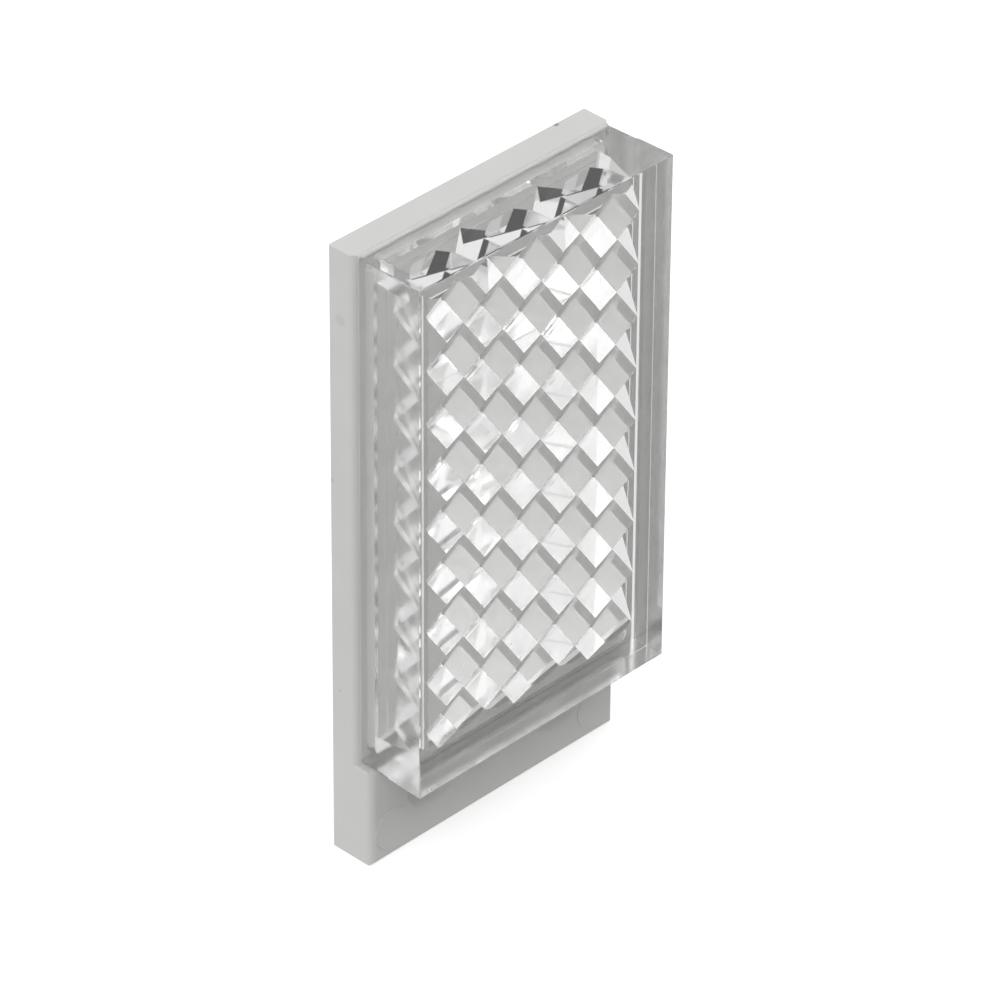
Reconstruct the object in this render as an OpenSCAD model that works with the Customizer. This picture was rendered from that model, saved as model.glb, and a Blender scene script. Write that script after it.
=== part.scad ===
// Small screw-on retroreflector for a photoelectric sensor.
// A drafted clear lens block with a field of corner-cube prisms is welded,
// rim down, to an opaque back plate. The plate is thicker below the lens,
// where a flange takes two screws. A low step on the plate centres the lens.
// Front faces -Y and +Z is up. The origin is midway between the two screw
// holes, on the plate's flat back.

/* [Back plate] */
// Width of the plate
plate_w = 19.8; // [18:0.2:24]
// Height of the plate, flange and all
plate_h = 40.4; // [38:0.2:46]
// Thickness of the plate behind the lens
plate_t = 1.9; // [1.5:0.1:2.2]
// Radius of the plate's outer corners
corner_r = 0.1; // [0.05:0.05:0.4]
// Radius of the front edges down the two long sides
side_edge_r = 0.45; // [0.1:0.05:0.7]
// Radius of the plate's front edges across its two ends
end_edge_r = 0.15; // [0.05:0.05:0.4]
// Height of the step that fits inside the lens's rim
step_t = 0.65; // [0.3:0.05:0.8]
// Radius of the step's corners
step_corner_r = 0.5; // [0.2:0.1:1]

/* [Screw flange] */
// Height of the flange
flange_h = 6.5; // [6:0.1:8]
// Thickness of the flange
flange_t = 3; // [2.6:0.1:3.6]
// Radius of the flange's upper and lower front edges
flange_edge_r = 0.4; // [0.1:0.05:0.6]
// Diameter of a screw hole
hole_d = 3.4; // [3:0.1:3.8]
// Distance between the two screw holes
hole_spacing = 10.2; // [9:0.1:11]
// Height of the screw holes above the lower edge
hole_z = 3.8; // [3.4:0.1:4]
// Radius of the rounded rim of a screw hole
rim_r = 0.4; // [0.1:0.05:0.5]

/* [Ejector marks] */
// Diameter of a mark left by an ejector pin
mark_d = 2.7; // [1.5:0.1:3]
// How far a mark stands proud of the flange
mark_t = 0.04; // [0.02:0.01:0.1]
// Distance of the two outer marks from the middle
outer_mark_x = 8.2; // [7.8:0.1:8.6]
// Height of the two outer marks above the lower edge
outer_mark_z = 1.95; // [1.6:0.05:2.2]
// Height of the middle mark above the lower edge
middle_mark_z = 3.35; // [2.8:0.05:3.8]

/* [Lens] */
// Usual gap between the lens's front edges and the plate's long sides
lens_side_gap = 0.08; // [0:0.02:0.5]
// Gap from the lens's front edges to the plate's top and to the flange
lens_end_gap = 0.14; // [0:0.02:0.5]
// How far the lens is welded off centre, to the right
lens_shift = 0.16; // [0:0.02:0.3]
// Depth of the lens, from the plate to its front face
lens_t = 4.78; // [4.5:0.02:6]
// Depth of the wider front part, down to the mould's parting line
front_t = 2.6; // [2:0.1:3]
// Width of the step at the parting line
parting_step = 0.03; // [0.02:0.01:0.2]
// Draft of the front part and of the rear part, on each side
lens_draft = 0.045; // [0.02:0.005:0.2]
// Radius of the rear part's corners
rear_corner_r = 0.1; // [0.1:0.1:1]
// Thickness of the lens's wall at the prisms
wall_t = 1.95; // [1.8:0.05:2.4]
// Thickness of the lens's wall at the hollow's mouth
mouth_wall_t = 1.5; // [1.2:0.05:1.7]
// Width of the welded rim on the two long sides
rim_side_t = 1; // [0.8:0.05:1.4]
// Width of the welded rim on the two short sides
rim_end_t = 0.55; // [0.4:0.05:1]

/* [Prisms] */
// Distance from one prism to the next up a column
prism_pitch = 3.45; // [2.8:0.05:3.5]
// Columns of prisms, counted across the whole lens
prism_columns = 7; // [5:2:9]
// Thickness of clear plastic in front of the prisms
skin_t = 1.35; // [1.2:0.05:2]

/* [Hidden] */
$fn = 64;

// The lower edge of the plate, and the lens's outline
base_z = -hole_z;
lens_w = plate_w - 2 * lens_side_gap;
lens_h = plate_h - flange_h - 2 * lens_end_gap;
lens_z = base_z + (plate_h + flange_h) / 2;
rear_t = lens_t - front_t;

// A corner cube's side seen end on, its depth, and the distance between columns
cube_side = prism_pitch / sqrt(3);
cube_depth = cube_side * sqrt(2);
column_pitch = 1.5 * cube_side;
prism_rows = ceil(lens_h / prism_pitch / 2);
// How far a prism is sunk into the skin, so that prisms meet below their valleys
sink = 0.1;
// Depth of the lens's hollow
floor_t = lens_t - skin_t + sink;
// How far the lens's outline draws in by the time that it reaches the plate
rear_inset = parting_step + 2 * lens_draft;

// Clearance between the step and the lens
step_gap = 0.05;
// Overlap that makes one shape run into the next
overlap = 0.5;

// Lays a shape drawn in X and Z on the plane y mm in front of the back
module facing_front(y) {
    translate([0, -y, 0]) rotate([90, 0, 0]) children();
}

// A w by h rectangle, centred, with corners of radius r
module round_rect(w, h, r) {
    square([w, h - 2 * r], center = true);
    square([w - 2 * r, h], center = true);
    for (x = [-1, 1], z = [-1, 1])
        translate([x * (w / 2 - r), z * (h / 2 - r)]) circle(r);
}

// The section of a slab w wide and t thick, with two front edges of radius r
module slab_section(w, t, r) {
    translate([-w / 2, 0]) square([w, t - r]);
    translate([-w / 2 + r, 0]) square([w - 2 * r, t]);
    for (x = [-1, 1]) translate([x * (w / 2 - r), t - r]) circle(r);
}

// A slab lying on its back, with rounded corners and front edges, those across its ends of radius end_r
module round_slab(w, h, t, end_r) {
    intersection() {
        linear_extrude(t) round_rect(w, h, corner_r);
        rotate([90, 0, 0]) linear_extrude(h, center = true) slab_section(w, t, side_edge_r);
        rotate([90, 0, 90]) linear_extrude(w, center = true) slab_section(h, t, end_r);
    }
}

// A block t deep whose face at the top is w by h, and whose sides draw in below
module drafted_block(w, h, t, draft, r = 0) {
    translate([0, 0, t]) mirror([0, 0, 1])
        linear_extrude(t, scale = [1 - 2 * draft / w, 1 - 2 * draft / h], slices = 1)
            if (r > 0) round_rect(w, h, r, $fn = 32); else square([w, h], center = true);
}

// A screw hole with a rounded rim at the front
module screw_hole() {
    translate([0, 0, -overlap]) cylinder(h = flange_t + 2 * overlap, d = hole_d);
    translate([0, 0, flange_t - rim_r]) rotate_extrude()
        difference() {
            square([hole_d / 2 + rim_r, rim_r + overlap]);
            translate([hole_d / 2 + rim_r, 0]) circle(rim_r);
        }
}

// The round marks of three ejector pins on the flange's front
module ejector_marks() {
    for (place = [
        [-outer_mark_x, outer_mark_z],
        [outer_mark_x, outer_mark_z],
        [0, middle_mark_z]
    ])
        translate([place[0], base_z + place[1], flange_t - overlap])
            cylinder(h = overlap + mark_t, d = mark_d);
}

// What lies inside the lens's rim, less a gap all round
module inside_rim(gap) {
    w = lens_w - 2 * (rear_inset + rim_side_t + gap);
    h = lens_h - 2 * (rear_inset + rim_end_t + gap);
    round_rect(w, h, step_corner_r - gap);
}

// The low step on the plate that centres the lens's rim
module rim_step() {
    translate([lens_shift, lens_z, 0])
        linear_extrude(plate_t + step_t) inside_rim(step_gap);
}

module back_plate() {
    color("gainsboro") facing_front(0) difference() {
        union() {
            translate([0, base_z + plate_h / 2, 0])
                round_slab(plate_w, plate_h, plate_t, end_edge_r);
            translate([0, base_z + flange_h / 2, 0])
                round_slab(plate_w, flange_h, flange_t, flange_edge_r);
            rim_step();
            ejector_marks();
        }
        for (side = [-1, 1]) translate([side * hole_spacing / 2, 0, 0]) screw_hole();
    }
}

// One corner of a cube, t deep from its open end to the tip, which points down
module corner_cube(t) {
    mirror([0, 0, 1]) rotate([0, 0, 180]) cylinder(h = t, r1 = t * sqrt(2), r2 = 0, $fn = 3);
}

// The prisms in staggered columns, centred on the plate, their tips towards it
module prism_field() {
    last = (prism_columns - 1) / 2;
    for (column = [-last : last], row = [-prism_rows : prism_rows])
        translate([column * column_pitch, (row + abs(column % 2) / 2) * prism_pitch, floor_t])
            corner_cube(cube_depth + sink);
}

// The lens's outside, with its rim down and its front face up
module lens_block() {
    translate([0, 0, rear_t]) drafted_block(lens_w, lens_h, front_t, lens_draft);
    inset = 2 * (rear_inset - lens_draft);
    drafted_block(lens_w - inset, lens_h - inset, rear_t, lens_draft, rear_corner_r);
}

// The hollow behind the prisms, which narrows from its mouth to them
module lens_hollow() {
    mouth_w = lens_w - 2 * (rear_inset + mouth_wall_t);
    mouth_h = lens_h - 2 * (rear_inset + mouth_wall_t);
    narrowing = [(lens_w - 2 * wall_t) / mouth_w, (lens_h - 2 * wall_t) / mouth_h];
    linear_extrude(floor_t, scale = narrowing, slices = 1)
        square([mouth_w, mouth_h], center = true);
}

// The shallow recess inside the rim that takes the plate's step
module step_recess() {
    translate([0, 0, -overlap])
        linear_extrude(overlap + step_t + step_gap) inside_rim(0, $fn = 32);
}

module prism_lens() {
    color("white", 0.4) facing_front(plate_t) translate([lens_shift, lens_z, 0]) difference() {
        lens_block();
        step_recess();
        difference() {
            lens_hollow();
            translate([-lens_shift, 0, 0]) prism_field();
        }
    }
}

back_plate();
prism_lens();
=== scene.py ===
"""A small screw-on reflector: a clear corner-cube lens welded to a moulded plate.

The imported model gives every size. This file finishes the plate, remakes the
lens with broken edges, adds the weld's flash, and sets a soft studio round them.
"""

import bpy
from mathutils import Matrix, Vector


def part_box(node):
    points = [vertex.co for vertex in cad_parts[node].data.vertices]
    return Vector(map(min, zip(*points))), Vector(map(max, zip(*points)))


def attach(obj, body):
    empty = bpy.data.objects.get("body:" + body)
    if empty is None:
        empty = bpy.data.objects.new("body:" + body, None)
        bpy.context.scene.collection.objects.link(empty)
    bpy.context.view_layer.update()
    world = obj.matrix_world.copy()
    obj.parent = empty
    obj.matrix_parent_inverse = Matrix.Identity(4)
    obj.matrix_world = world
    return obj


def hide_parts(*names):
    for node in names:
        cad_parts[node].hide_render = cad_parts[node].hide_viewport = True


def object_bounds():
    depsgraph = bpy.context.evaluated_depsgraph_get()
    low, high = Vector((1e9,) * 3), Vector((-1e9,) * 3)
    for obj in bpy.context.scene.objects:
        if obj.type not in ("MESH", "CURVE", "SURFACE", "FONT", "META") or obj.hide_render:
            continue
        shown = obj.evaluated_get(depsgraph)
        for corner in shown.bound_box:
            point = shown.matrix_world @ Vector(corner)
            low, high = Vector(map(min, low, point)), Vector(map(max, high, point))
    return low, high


bl_info = {
    "name": "Corner Cube Reflector",
    "version": (1, 0, 0),
    "blender": (4, 5, 0),
    "location": "View3D > Sidebar > Reflector",
    "description": "Finishes a welded plastic reflector and its studio",
    "category": "Object",
}

import math

import bmesh
import bpy
from bpy.props import FloatProperty, FloatVectorProperty, IntProperty, PointerProperty
from mathutils import Matrix, Vector

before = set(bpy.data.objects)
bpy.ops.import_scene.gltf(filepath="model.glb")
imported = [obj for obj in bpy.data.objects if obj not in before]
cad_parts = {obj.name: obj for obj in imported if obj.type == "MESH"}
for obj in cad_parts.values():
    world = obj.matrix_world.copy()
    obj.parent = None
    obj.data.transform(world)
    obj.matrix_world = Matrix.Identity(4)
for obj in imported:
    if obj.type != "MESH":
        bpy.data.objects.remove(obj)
CAD_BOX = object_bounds()
PLATE_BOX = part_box("back_plate")
LENS_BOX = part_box("prism_lens")

MM = 0.001
BODY = "root"
WHITE = (1.0, 1.0, 1.0, 1.0)
SPECK_BROWN = (0.2, 0.13, 0.08, 1.0)
SMUDGE_GREY = (0.2, 0.19, 0.17, 1.0)
DUST_GREY = (0.4, 0.38, 0.35, 1.0)
# The plate's face behind the lens, which is the back of the lens
SEAT_Y = LENS_BOX[1][1]


# ---------------------------------------------------------------- settings

class StageSettings(bpy.types.PropertyGroup):
    """The camera, the lights and the floor."""

    azimuth: FloatProperty(
        name="Azimuth",
        description="Camera's turn from the front towards the object's left",
        default=math.radians(45.82), subtype="ANGLE")
    elevation: FloatProperty(
        name="Elevation",
        description="Camera's height above the horizon",
        default=math.radians(34.45), subtype="ANGLE")
    roll: FloatProperty(
        name="Roll",
        description="Camera's turn about its own axis",
        default=math.radians(-0.43), subtype="ANGLE")
    distance: FloatProperty(
        name="Distance",
        description="From the camera to the point it aims at",
        default=0.4028, min=0.1, subtype="DISTANCE", unit="LENGTH")
    aim: FloatVectorProperty(
        name="Aim",
        description="The point in the middle of the view",
        default=(0.00019, -0.00312, 0.01658), subtype="TRANSLATION", unit="LENGTH")
    focal_length: FloatProperty(
        name="Focal Length",
        description="Camera's focal length in millimetres",
        default=260.3, min=20.0)
    surround: FloatProperty(
        name="Surround",
        description="Brightness of the white walls round the object",
        default=0.83, min=0.0)
    front: FloatProperty(
        name="Front",
        description="Brightness of the open front of the studio",
        default=0.55, min=0.0)
    opening: FloatProperty(
        name="Opening",
        description="Brightness of the dark opening that the lens faces",
        default=0.05, min=0.0)
    key_radiance: FloatProperty(
        name="Key",
        description="Brightness of the soft box above the camera",
        default=3.2, min=0.0)
    key_turn: FloatProperty(
        name="Key Turn",
        description="Key's turn about the object, from its right side round by the back",
        default=math.radians(225.0), subtype="ANGLE")
    key_rise: FloatProperty(
        name="Key Rise",
        description="Key's height above the horizon",
        default=math.radians(48.0), subtype="ANGLE")
    key_reach: FloatProperty(
        name="Key Reach",
        description="From the object's middle to the key",
        default=1.2, min=0.1, subtype="DISTANCE", unit="LENGTH")
    key_size: FloatVectorProperty(
        name="Key Size",
        description="Width and height of the key",
        size=2, default=(0.75, 0.5), min=0.01, unit="LENGTH")
    fill_radiance: FloatProperty(
        name="Fill",
        description="Brightness of the soft box above the front",
        default=1.2, min=0.0)
    fill_place: FloatVectorProperty(
        name="Fill Place",
        description="Middle of the fill",
        default=(0.25, -0.75, 1.0), subtype="TRANSLATION", unit="LENGTH")
    fill_size: FloatVectorProperty(
        name="Fill Size",
        description="Width and height of the fill",
        size=2, default=(0.9, 0.6), min=0.01, unit="LENGTH")
    floor_colour: FloatVectorProperty(
        name="Floor Colour",
        description="Colour of the studio floor",
        default=(0.9, 0.9, 0.9), min=0.0, max=1.0, subtype="COLOR")


class PlateSettings(bpy.types.PropertyGroup):
    """The moulded back plate."""

    colour: FloatVectorProperty(
        name="Colour",
        description="Colour of the plate's outside",
        default=(0.63, 0.63, 0.615), min=0.0, max=1.0, subtype="COLOR")
    # Painted light: the paler colour behind the lens stands in for light that reaches the plate through
    # the lens
    seat_painted_light_colour: FloatVectorProperty(
        name="Seat Colour",
        description="Colour of the face behind the lens and of the narrow ledge round it",
        default=(0.9, 0.9, 0.88), min=0.0, max=1.0, subtype="COLOR")
    roughness: FloatProperty(
        name="Roughness",
        description="Roughness of the satin surface",
        default=0.5, min=0.0, max=1.0, subtype="FACTOR")
    grain: FloatProperty(
        name="Grain",
        description="Depth of the mould's fine texture",
        default=0.004 * MM, min=0.0, precision=6, subtype="DISTANCE", unit="LENGTH")
    # Margin of the painted light behind the lens
    painted_light_margin: FloatProperty(
        name="Seat Margin",
        description="From the lens's lower and right edges to the paler colour",
        default=0.2 * MM, min=0.0, precision=5, subtype="DISTANCE", unit="LENGTH")
    speck_place: FloatVectorProperty(
        name="Speck Place",
        description="Middle of the brown speck, from the middle of the top's back edge",
        default=(7.5 * MM, -0.1 * MM, 0.0), precision=5, subtype="TRANSLATION", unit="LENGTH")
    speck_radius: FloatProperty(
        name="Speck Radius",
        description="Radius of the brown speck",
        default=0.22 * MM, min=0.0, precision=5, subtype="DISTANCE", unit="LENGTH")
    smudge_place: FloatVectorProperty(
        name="Smudge Place",
        description="Middle of the smudge, from the left side's back edge at the screws' height",
        default=(0.0, -0.85 * MM, 32.1 * MM), precision=5, subtype="TRANSLATION", unit="LENGTH")
    smudge_radius: FloatProperty(
        name="Smudge Radius",
        description="Radius of the smudge",
        default=0.5 * MM, min=0.0, precision=5, subtype="DISTANCE", unit="LENGTH")


class LensSettings(bpy.types.PropertyGroup):
    """The clear prism lens."""

    tint: FloatVectorProperty(
        name="Tint",
        description="Colour that the clear plastic gives to light",
        default=(0.999, 1.0, 0.998), min=0.0, max=1.0, subtype="COLOR")
    ior: FloatProperty(
        name="Index of Refraction",
        description="How strongly the clear plastic bends light",
        default=1.491, min=1.0, max=2.0)
    polish: FloatProperty(
        name="Polish",
        description="Roughness of the front and of the prisms",
        default=0.03, min=0.0, max=1.0, subtype="FACTOR")
    side_haze: FloatProperty(
        name="Side Haze",
        description="Roughness of the drawn sides",
        default=0.18, min=0.0, max=1.0, subtype="FACTOR")
    top_haze: FloatProperty(
        name="Top Haze",
        description="Roughness of the top, which is clearer than the other sides",
        default=0.06, min=0.0, max=1.0, subtype="FACTOR")
    edge_break: FloatProperty(
        name="Edge Break",
        description="Width of the small round along the outer edges",
        default=0.07 * MM, min=0.0, precision=5, subtype="DISTANCE", unit="LENGTH")
    weld_depth: FloatProperty(
        name="Weld Depth",
        description="How far the rim is fused into the plate",
        default=0.03 * MM, min=0.0, precision=5, subtype="DISTANCE", unit="LENGTH")


class FlashSettings(bpy.types.PropertyGroup):
    """The bead that the weld squeezed out along the top seam."""

    radius: FloatProperty(
        name="Radius",
        description="Usual radius of the bead",
        default=0.15 * MM, min=0.0, precision=5, subtype="DISTANCE", unit="LENGTH")
    swell: FloatProperty(
        name="Swell",
        description="How much the bead's radius rises and falls",
        default=0.06 * MM, min=0.0, precision=5, subtype="DISTANCE", unit="LENGTH")
    drop: FloatProperty(
        name="Drop",
        description="From the lens's top down to the bead's middle",
        default=0.1 * MM, min=0.0, precision=5, subtype="DISTANCE", unit="LENGTH")
    end_gap: FloatProperty(
        name="End Gap",
        description="From each end of the seam to the bead",
        default=0.3 * MM, min=0.0, precision=5, subtype="DISTANCE", unit="LENGTH")
    colour: FloatVectorProperty(
        name="Colour",
        description="Colour of the bead, close to the plate's",
        default=(0.64, 0.64, 0.62), min=0.0, max=1.0, subtype="COLOR")
    steps: IntProperty(
        name="Steps",
        description="Sections along the bead",
        default=90, min=8, max=400)


# ------------------------------------------------------------ node helpers

def add(tree, kind, inputs=None, **settings):
    """Add a node, and set or link the inputs that are given."""
    node = tree.nodes.new(kind)
    for name, value in settings.items():
        setattr(node, name, value)
    for name, value in (inputs or {}).items():
        if isinstance(value, bpy.types.NodeSocket):
            tree.links.new(value, node.inputs[name])
        else:
            node.inputs[name].default_value = value
    return node


def calc(tree, operation, *values):
    """Add a Math node and return what it puts out."""
    return add(tree, "ShaderNodeMath", dict(enumerate(values)), operation=operation).outputs[0]


def ramp(tree, value, low, high, to_low=0.0, to_high=1.0):
    """Map low..high smoothly to to_low..to_high, and hold the ends."""
    inputs = {
        "Value": value,
        "From Min": low,
        "From Max": high,
        "To Min": to_low,
        "To Max": to_high,
    }
    return add(tree, "ShaderNodeMapRange", inputs, interpolation_type="SMOOTHSTEP").outputs[0]


def blend_colour(tree, mask, first, second):
    """Mix two colours by a mask."""
    node = add(tree, "ShaderNodeMix", {0: mask, 6: first, 7: second}, data_type="RGBA")
    return node.outputs[2]


def stretched(tree, vector, scale):
    """Stretch a coordinate by a scale along each axis."""
    inputs = {"Vector": vector, "Scale": scale}
    return add(tree, "ShaderNodeMapping", inputs).outputs[0]


def new_group(name, inputs, outputs):
    """Start a shader node group and return its tree, input node and output node."""
    tree = bpy.data.node_groups.new(name, "ShaderNodeTree")
    for socket_name, kind, default in inputs:
        socket = tree.interface.new_socket(socket_name, in_out="INPUT", socket_type=kind)
        if default is not None:
            socket.default_value = default
    for socket_name, kind in outputs:
        tree.interface.new_socket(socket_name, in_out="OUTPUT", socket_type=kind)
    return tree, tree.nodes.new("NodeGroupInput"), tree.nodes.new("NodeGroupOutput")


def group_node(tree, group, inputs):
    """Place a node group in a material with its own values."""
    return add(tree, "ShaderNodeGroup", inputs, node_tree=group)


def new_material(name):
    """Start a material and return it with its tree, shader and coordinate."""
    material = bpy.data.materials.new(name)
    material.use_nodes = True
    tree = material.node_tree
    place = tree.nodes.new("ShaderNodeTexCoord").outputs["Object"]
    return material, tree, tree.nodes["Principled BSDF"], place


# ------------------------------------------------------- shared surface effects

def mould_grain_group():
    """Fine texture of a moulded face: a shade that drifts, and a bumped normal."""
    name = "mould_grain"
    if name in bpy.data.node_groups:
        return bpy.data.node_groups[name]
    tree, given, result = new_group(
        name,
        [("Vector", "NodeSocketVector", None),
         ("Density", "NodeSocketFloat", 9000.0),
         ("Depth", "NodeSocketFloat", 0.004 * MM)],
        [("Shade", "NodeSocketFloat"), ("Normal", "NodeSocketVector")])
    place = given.outputs["Vector"]
    fine = add(tree, "ShaderNodeTexNoise", {
        "Vector": place, "Scale": given.outputs["Density"], "Detail": 2.0})
    drift = add(tree, "ShaderNodeTexNoise", {"Vector": place, "Scale": 260.0, "Detail": 3.0})
    bump = add(tree, "ShaderNodeBump", {
        "Height": fine.outputs["Fac"], "Distance": given.outputs["Depth"], "Strength": 1.0})
    shade = calc(tree, "ADD", calc(tree, "MULTIPLY", fine.outputs["Fac"], 0.3),
                 calc(tree, "MULTIPLY", drift.outputs["Fac"], 0.7))
    tree.links.new(shade, result.inputs["Shade"])
    tree.links.new(bump.outputs[0], result.inputs["Normal"])
    return tree


def dust_group():
    """Sparse specks of dust: a mask that is 1 on a speck."""
    name = "dust_specks"
    if name in bpy.data.node_groups:
        return bpy.data.node_groups[name]
    tree, given, result = new_group(
        name,
        [("Vector", "NodeSocketVector", None),
         ("Density", "NodeSocketFloat", 900.0),
         ("Size", "NodeSocketFloat", 0.1),
         ("Share", "NodeSocketFloat", 0.1)],
        [("Mask", "NodeSocketFloat")])
    cells = add(tree, "ShaderNodeTexVoronoi", {
        "Vector": given.outputs["Vector"], "Scale": given.outputs["Density"]})
    pick = add(tree, "ShaderNodeSeparateColor", {0: cells.outputs["Color"]})
    chosen = calc(tree, "LESS_THAN", pick.outputs[0], given.outputs["Share"])
    reach = calc(tree, "MULTIPLY", pick.outputs[1], given.outputs["Size"])
    near = calc(tree, "LESS_THAN", cells.outputs["Distance"], reach)
    tree.links.new(calc(tree, "MULTIPLY", chosen, near), result.inputs["Mask"])
    return tree


def draw_marks_group():
    """Faint lines that a face takes as it is drawn from its mould."""
    name = "draw_marks"
    if name in bpy.data.node_groups:
        return bpy.data.node_groups[name]
    tree, given, result = new_group(
        name,
        [("Vector", "NodeSocketVector", None),
         ("Depth", "NodeSocketFloat", 0.002 * MM)],
        [("Mask", "NodeSocketFloat"), ("Normal", "NodeSocketVector")])
    lines = add(tree, "ShaderNodeTexNoise", {
        "Vector": stretched(tree, given.outputs["Vector"], (1.0, 0.12, 1.0)),
        "Scale": 2600.0, "Detail": 4.0, "Roughness": 0.6})
    bump = add(tree, "ShaderNodeBump", {
        "Height": lines.outputs["Fac"], "Distance": given.outputs["Depth"], "Strength": 1.0})
    tree.links.new(ramp(tree, lines.outputs["Fac"], 0.45, 0.7), result.inputs["Mask"])
    tree.links.new(bump.outputs[0], result.inputs["Normal"])
    return tree


# ----------------------------------------------------------------- materials

def painted_seat_light_mask(tree, place, margin):
    """A mask for painted light: 1 on the plate's front above the lens's lower edge, up to the plate's
    long sides.
    """
    x, y, z = add(tree, "ShaderNodeSeparateXYZ", {0: place}).outputs
    hair = 0.02 * MM
    in_front = calc(tree, "LESS_THAN", y, SEAT_Y + hair)
    above = calc(tree, "GREATER_THAN", z, LENS_BOX[0][2] + margin)
    within = calc(tree, "LESS_THAN", calc(tree, "ABSOLUTE", x), LENS_BOX[1][0] - margin)
    return calc(tree, "MULTIPLY", calc(tree, "MULTIPLY", in_front, above), within)


def moulded_plate(settings):
    """Satin grey plastic, with painted light that makes it paler behind the lens, with a speck, a smudge
    and a little dust.
    """
    material, tree, shader, place = new_material("moulded_plate")
    grain = group_node(tree, mould_grain_group(), {
        "Vector": place, "Density": 7000.0, "Depth": settings.grain})
    dust = group_node(tree, dust_group(), {
        "Vector": place, "Density": 700.0, "Size": 0.12, "Share": 0.08})
    # Painted light: the face behind the lens takes the paler colour for light that reaches it through the
    # lens
    painted_seat_light = painted_seat_light_mask(tree, place, settings.painted_light_margin)
    base_and_painted_light = blend_colour(tree, painted_seat_light, (*settings.colour, 1.0), (*settings.seat_painted_light_colour, 1.0))
    drift = ramp(tree, grain.outputs["Shade"], 0.3, 0.7)
    darker = blend_colour(tree, drift, (0.95, 0.95, 0.945, 1.0), WHITE)
    colour = add(tree, "ShaderNodeMix", {0: 1.0, 6: base_and_painted_light, 7: darker},
                 data_type="RGBA", blend_type="MULTIPLY").outputs[2]

    top_middle = Vector((0.0, 0.0, PLATE_BOX[1][2]))
    left_side = Vector((PLATE_BOX[0][0], 0.0, 0.0))
    speck = spot(tree, place, top_middle + Vector(settings.speck_place), settings.speck_radius)
    smudge = spot(tree, place, left_side + Vector(settings.smudge_place), settings.smudge_radius)
    for mask, strength, mark_colour in (
        (speck, 0.7, SPECK_BROWN),
        (smudge, 0.12, SMUDGE_GREY),
        (dust.outputs["Mask"], 0.4, DUST_GREY),
    ):
        colour = blend_colour(tree, calc(tree, "MULTIPLY", mask, strength), colour, mark_colour)
    tree.links.new(colour, shader.inputs["Base Color"])

    spread = 0.06
    rough = ramp(tree, grain.outputs["Shade"], 0.2, 0.8,
                 settings.roughness - spread, settings.roughness + spread)
    tree.links.new(rough, shader.inputs["Roughness"])
    tree.links.new(grain.outputs["Normal"], shader.inputs["Normal"])
    return material


def spot(tree, place, middle, radius):
    """A soft round mark, as a mask, in one place on a piece."""
    inputs = {0: place, 1: middle}
    distance = add(tree, "ShaderNodeVectorMath", inputs, operation="DISTANCE").outputs["Value"]
    return ramp(tree, distance, radius * 0.4, radius, 1.0, 0.0)


def clear_acrylic(settings, name, roughness, marks_depth):
    """Clear plastic, with dust and the faint marks of its mould."""
    material, tree, shader, place = new_material(name)
    shader.inputs["Base Color"].default_value = (*settings.tint, 1.0)
    shader.inputs["IOR"].default_value = settings.ior
    shader.inputs["Transmission Weight"].default_value = 1.0
    dust = group_node(tree, dust_group(), {
        "Vector": place, "Density": 800.0, "Size": 0.09, "Share": 0.06})
    marks = group_node(tree, draw_marks_group(), {"Vector": place, "Depth": marks_depth})
    hazy = calc(tree, "MULTIPLY_ADD", marks.outputs["Mask"], 0.5 * roughness, roughness)
    rough = calc(tree, "MULTIPLY_ADD", dust.outputs["Mask"], 0.5, hazy)
    tree.links.new(rough, shader.inputs["Roughness"])
    tree.links.new(marks.outputs["Normal"], shader.inputs["Normal"])
    return material


def weld_plastic(settings):
    """The plate's grey plastic, a little mottled where the weld squeezed it out."""
    material, tree, shader, place = new_material("weld_plastic")
    grain = group_node(tree, mould_grain_group(), {
        "Vector": place, "Density": 3000.0, "Depth": 0.003 * MM})
    light = (*settings.colour, 1.0)
    dark = tuple(0.93 * c for c in settings.colour) + (1.0,)
    colour = blend_colour(tree, ramp(tree, grain.outputs["Shade"], 0.35, 0.65), dark, light)
    tree.links.new(colour, shader.inputs["Base Color"])
    tree.links.new(grain.outputs["Normal"], shader.inputs["Normal"])
    shader.inputs["Roughness"].default_value = 0.4
    return material


# -------------------------------------------------------------------- pieces

def new_piece(name, bm, materials):
    """Turn a bmesh into a piece with the given materials."""
    mesh = bpy.data.meshes.new(name)
    bm.to_mesh(mesh)
    bm.free()
    for material in materials:
        mesh.materials.append(material)
    piece = bpy.data.objects.new(name, mesh)
    bpy.context.scene.collection.objects.link(piece)
    return piece


def merged_copy(node):
    """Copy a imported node's mesh with its doubles merged and its flat faces joined."""
    hair = 0.002 * MM
    bm = bmesh.new()
    bm.from_mesh(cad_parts[node].data)
    bmesh.ops.remove_doubles(bm, verts=bm.verts, dist=hair)
    bmesh.ops.dissolve_degenerate(bm, edges=bm.edges, dist=hair)
    bmesh.ops.dissolve_limit(bm, angle_limit=0.002, verts=bm.verts, edges=bm.edges)
    return bm


def outer_edges(bm):
    """The edges round the lens's front face, and those down its front corners."""
    low, high = LENS_BOX
    hair = 0.01 * MM
    near = 0.3 * MM
    shallow = 0.5

    def at_corner(vert):
        beside = min(vert.co.x - low[0], high[0] - vert.co.x) < near
        end = min(vert.co.z - low[2], high[2] - vert.co.z) < near
        return beside and end

    def in_front(vert):
        return vert.co.y < low[1] + hair

    chosen = []
    for edge in bm.edges:
        a, b = edge.verts
        flat = edge.is_manifold and edge.calc_face_angle() < shallow
        front = in_front(a) and in_front(b)
        corner = at_corner(a) and at_corner(b) and in_front(a) != in_front(b)
        if (front or corner) and not flat:
            chosen.append(edge)
    return chosen


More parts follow.
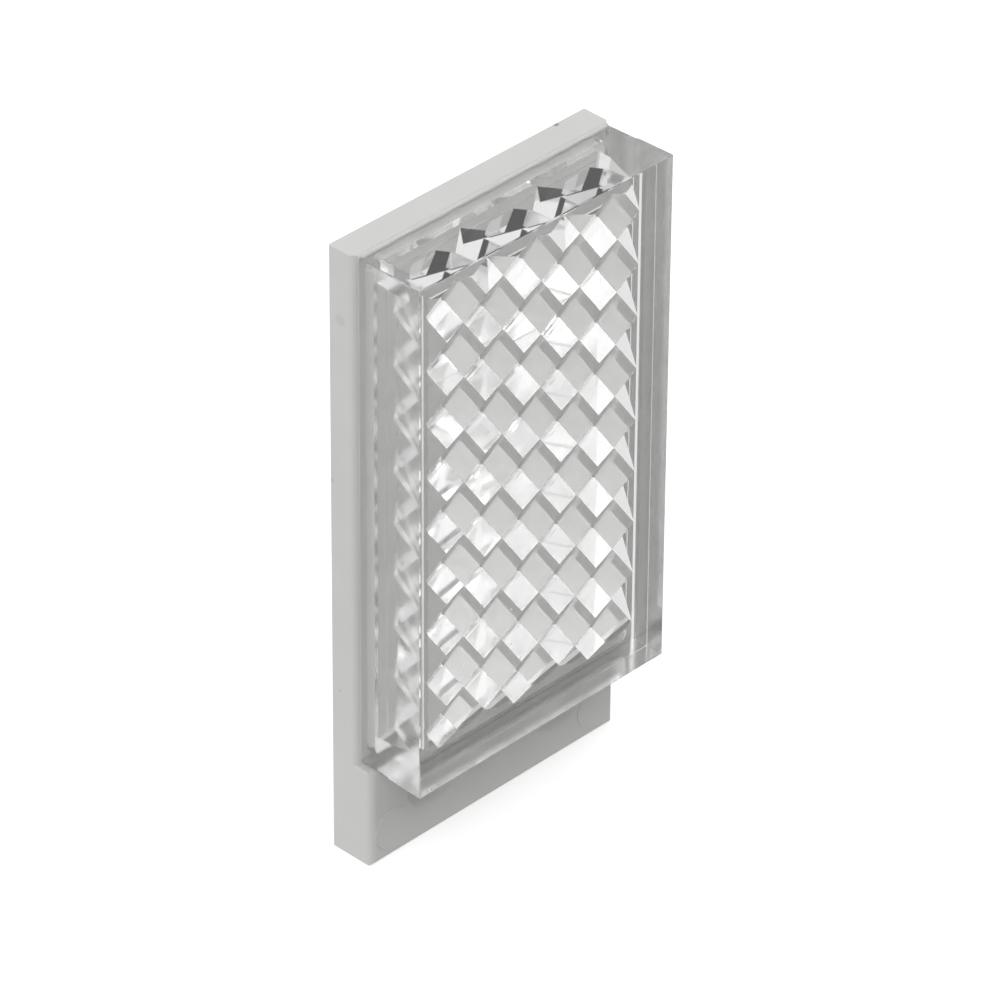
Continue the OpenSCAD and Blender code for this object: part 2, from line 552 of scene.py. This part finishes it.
def mark_sides(bm):
    """Give the outer sides the second material, and the top the third."""
    low, high = LENS_BOX
    near = 0.4 * MM
    axis_x = (low[0] + high[0]) / 2
    axis_z = (low[2] + high[2]) / 2
    for face in bm.faces:
        face.smooth = False
        middle = face.calc_center_median()
        out_way = middle - Vector((axis_x, middle.y, axis_z))
        outward = face.normal.dot(out_way) > 0
        beside = min(middle.x - low[0], high[0] - middle.x) < near
        end = min(middle.z - low[2], high[2] - middle.z) < near
        if (beside or end) and outward and abs(face.normal.y) < 0.5:
            face.material_index = 2 if face.normal.z > 0.7 else 1


# ----------------------------------------------------------------- operators

class REFLECTOR_OT_make_stage(bpy.types.Operator):
    """Set the camera, the white surround, the soft boxes and the floor"""

    bl_idname = "reflector.make_stage"
    bl_label = "Make Stage"

    def execute(self, context):
        settings = context.scene.reflector_stage
        self.make_camera(context.scene, settings)
        self.make_world(context.scene, settings)
        self.make_lights(context.scene, settings)
        self.make_floor(context.scene, settings)
        context.scene.view_settings.view_transform = "Standard"
        cycles = context.scene.cycles
        cycles.max_bounces = 32
        cycles.diffuse_bounces = 10
        cycles.glossy_bounces = 16
        cycles.transmission_bounces = 24
        cycles.transparent_max_bounces = 16
        return {"FINISHED"}

    def make_camera(self, scene, settings):
        """Aim a long lens at the object from above its front left corner."""
        turn = settings.azimuth
        rise = settings.elevation
        back = Vector((
            -math.sin(turn) * math.cos(rise),
            -math.cos(turn) * math.cos(rise),
            math.sin(rise),
        ))
        right = Vector((math.cos(turn), -math.sin(turn), 0.0))
        up = back.cross(right)
        look = Matrix((right, up, back)).transposed()
        data = bpy.data.cameras.new("camera")
        data.lens = settings.focal_length
        data.sensor_width = 36.0
        data.clip_start = 0.01
        data.clip_end = 10.0
        camera = bpy.data.objects.new("camera", data)
        scene.collection.objects.link(camera)
        turned = (look @ Matrix.Rotation(-settings.roll, 3, "Z")).to_4x4()
        place = Vector(settings.aim) + settings.distance * back
        camera.matrix_world = Matrix.Translation(place) @ turned
        scene.camera = camera

    def make_world(self, scene, settings):
        """White walls, with a dimmer front and a dark opening in it."""
        world = bpy.data.worlds.new("studio")
        world.use_nodes = True
        scene.world = world
        tree = world.node_tree
        way = tree.nodes.new("ShaderNodeTexCoord").outputs["Generated"]

        def towards(direction):
            inputs = {0: way, 1: Vector(direction).normalized()}
            return add(tree, "ShaderNodeVectorMath", inputs, operation="DOT_PRODUCT").outputs["Value"]

        # Each mask rises with the cosine of the angle from the middle of what it stands for
        front = ramp(tree, towards((0.2, -0.93, -0.3)), 0.15, 0.75)
        opening = ramp(tree, towards((-0.1, -0.98, 0.12)), 0.78, 0.93)
        fall = settings.front - settings.surround
        wall = calc(tree, "MULTIPLY_ADD", front, fall, settings.surround)
        dimming = calc(tree, "SUBTRACT", settings.opening, wall)
        level = calc(tree, "MULTIPLY_ADD", opening, dimming, wall)
        seen = tree.nodes.new("ShaderNodeLightPath").outputs["Is Camera Ray"]
        inputs = {0: seen, 2: level, 3: 1.0}
        strength = add(tree, "ShaderNodeMix", inputs, data_type="FLOAT").outputs[0]
        background = tree.nodes["Background"]
        background.inputs["Color"].default_value = WHITE
        tree.links.new(strength, background.inputs["Strength"])

    def make_lights(self, scene, settings):
        """One soft box above the camera and one above the front."""
        middle = Vector((0.0, 0.0, (CAD_BOX[0][2] + CAD_BOX[1][2]) / 2))
        turn = settings.key_turn
        rise = settings.key_rise
        key_way = Vector((
            math.cos(turn) * math.cos(rise),
            math.sin(turn) * math.cos(rise),
            math.sin(rise),
        ))
        key_place = middle + settings.key_reach * key_way
        fill_place = Vector(settings.fill_place)
        self.soft_box(scene, "key", key_place, middle, settings.key_size, settings.key_radiance)
        self.soft_box(scene, "fill", fill_place, middle, settings.fill_size, settings.fill_radiance)

    def soft_box(self, scene, name, place, target, size, radiance):
        """A rectangular light that looks equally bright whatever its size."""
        data = bpy.data.lights.new(name, "AREA")
        data.shape = "RECTANGLE"
        data.size = size[0]
        data.size_y = size[1]
        data.energy = radiance * math.pi * size[0] * size[1]
        box = bpy.data.objects.new(name, data)
        scene.collection.objects.link(box)
        box.location = place
        box.rotation_euler = (target - place).to_track_quat("-Z", "Y").to_euler()

    def make_floor(self, scene, settings):
        """A pale floor that glows a little, takes a faint shadow and stays out of the lens."""
        half_width = 3.0
        bm = bmesh.new()
        bmesh.ops.create_grid(bm, x_segments=1, y_segments=1, size=half_width)
        bmesh.ops.translate(bm, verts=bm.verts, vec=(0.0, 0.0, CAD_BOX[0][2]))
        material, tree, shader, place = new_material("studio_floor")
        cloud = add(tree, "ShaderNodeTexNoise", {"Vector": place, "Scale": 6.0})
        pale = (*settings.floor_colour, 1.0)
        dim = tuple(0.99 * c for c in settings.floor_colour) + (1.0,)
        tree.links.new(blend_colour(tree, cloud.outputs["Fac"], dim, pale), shader.inputs["Base Color"])
        shader.inputs["Roughness"].default_value = 0.9
        shader.inputs["Emission Color"].default_value = WHITE
        shader.inputs["Emission Strength"].default_value = 0.35
        floor = new_piece("studio_floor", bm, [material])
        floor.visible_diffuse = False
        floor.visible_glossy = False
        floor.visible_transmission = False
        floor.visible_shadow = False


class REFLECTOR_OT_finish_plate(bpy.types.Operator):
    """Give the back plate its moulded plastic"""

    bl_idname = "reflector.finish_plate"
    bl_label = "Finish Plate"

    def execute(self, context):
        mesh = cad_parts["back_plate"].data
        mesh.materials.clear()
        mesh.materials.append(moulded_plate(context.scene.reflector_plate))
        return {"FINISHED"}


class REFLECTOR_OT_make_lens(bpy.types.Operator):
    """Make the clear lens, with broken edges and its rim fused into the plate"""

    bl_idname = "reflector.make_lens"
    bl_label = "Make Lens"

    def execute(self, context):
        settings = context.scene.reflector_lens
        bm = merged_copy("prism_lens")
        edges = outer_edges(bm)
        if len(edges) < 8:
            raise RuntimeError("the lens's outer edges weren't found")
        bmesh.ops.bevel(bm, geom=edges, offset=settings.edge_break, offset_type="OFFSET",
                        affect="EDGES", segments=3, profile=0.5, material=-1)
        mark_sides(bm)
        bmesh.ops.translate(bm, verts=bm.verts, vec=(0.0, settings.weld_depth, 0.0))
        polished = clear_acrylic(settings, "clear_acrylic", settings.polish, 0.0002 * MM)
        drawn = clear_acrylic(settings, "drawn_acrylic", settings.side_haze, 0.001 * MM)
        top = clear_acrylic(settings, "top_acrylic", settings.top_haze, 0.0001 * MM)
        lens = new_piece("clear_lens", bm, [polished, drawn, top])
        custom_normals = lens.data.attributes.get("custom_normal")
        if custom_normals:
            lens.data.attributes.remove(custom_normals)
        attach(lens, BODY)
        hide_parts("prism_lens")
        return {"FINISHED"}


class REFLECTOR_OT_make_weld_flash(bpy.types.Operator):
    """Make the thin bead that the weld squeezed out along the top seam"""

    bl_idname = "reflector.make_weld_flash"
    bl_label = "Make Weld Flash"

    def execute(self, context):
        settings = context.scene.reflector_flash
        low, high = LENS_BOX
        length = high[0] - low[0] - 2 * settings.end_gap
        bm = bmesh.new()
        bmesh.ops.create_cone(bm, cap_ends=True, segments=12, radius1=settings.radius,
                              radius2=settings.radius, depth=length,
                              matrix=Matrix.Rotation(math.pi / 2, 4, "Y"))
        along = [edge for edge in bm.edges if edge.calc_length() > length / 2]
        bmesh.ops.subdivide_edges(bm, edges=along, cuts=settings.steps)
        # A long wave and a short one, in radians to the millimetre, and where each starts
        long_wave, long_start = 0.9, 1.2
        short_wave, short_start = 2.3, 0.7
        for vert in bm.verts:
            x = vert.co.x / MM
            wave = math.sin(x * long_wave + long_start) * math.sin(x * short_wave + short_start)
            swollen = 1.0 + settings.swell / settings.radius * wave
            vert.co.y *= swollen
            vert.co.z *= swollen
        seam = Vector(((low[0] + high[0]) / 2, SEAT_Y, high[2] - settings.drop))
        bmesh.ops.translate(bm, verts=bm.verts, vec=seam)
        for face in bm.faces:
            face.smooth = True
        flash = new_piece("weld_flash", bm, [weld_plastic(settings)])
        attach(flash, BODY)
        return {"FINISHED"}


class REFLECTOR_PT_panel(bpy.types.Panel):
    """The reflector's pieces and its studio"""

    bl_idname = "REFLECTOR_PT_panel"
    bl_label = "Reflector"
    bl_space_type = "VIEW_3D"
    bl_region_type = "UI"
    bl_category = "Reflector"

    def draw(self, context):
        for operator, settings_name in STEPS:
            box = self.layout.box()
            box.operator(operator.bl_idname)
            settings = getattr(context.scene, settings_name)
            for name in settings.__annotations__:
                box.prop(settings, name)


STEPS = (
    (REFLECTOR_OT_make_stage, "reflector_stage"),
    (REFLECTOR_OT_finish_plate, "reflector_plate"),
    (REFLECTOR_OT_make_lens, "reflector_lens"),
    (REFLECTOR_OT_make_weld_flash, "reflector_flash"),
)
SETTINGS = {
    "reflector_stage": StageSettings,
    "reflector_plate": PlateSettings,
    "reflector_lens": LensSettings,
    "reflector_flash": FlashSettings,
}
CLASSES = (*SETTINGS.values(), *(operator for operator, _ in STEPS), REFLECTOR_PT_panel)


def register():
    """Register the classes and give the scene its settings."""
    for cls in CLASSES:
        bpy.utils.register_class(cls)
    for name, group in SETTINGS.items():
        setattr(bpy.types.Scene, name, PointerProperty(type=group))


def unregister():
    """Take the settings and the classes away again."""
    for name in SETTINGS:
        delattr(bpy.types.Scene, name)
    for cls in reversed(CLASSES):
        bpy.utils.unregister_class(cls)


def main():
    """Make the whole scene."""
    register()
    bpy.ops.reflector.make_stage()
    bpy.ops.reflector.finish_plate()
    bpy.ops.reflector.make_lens()
    bpy.ops.reflector.make_weld_flash()


if __name__ == "__main__":
    main()
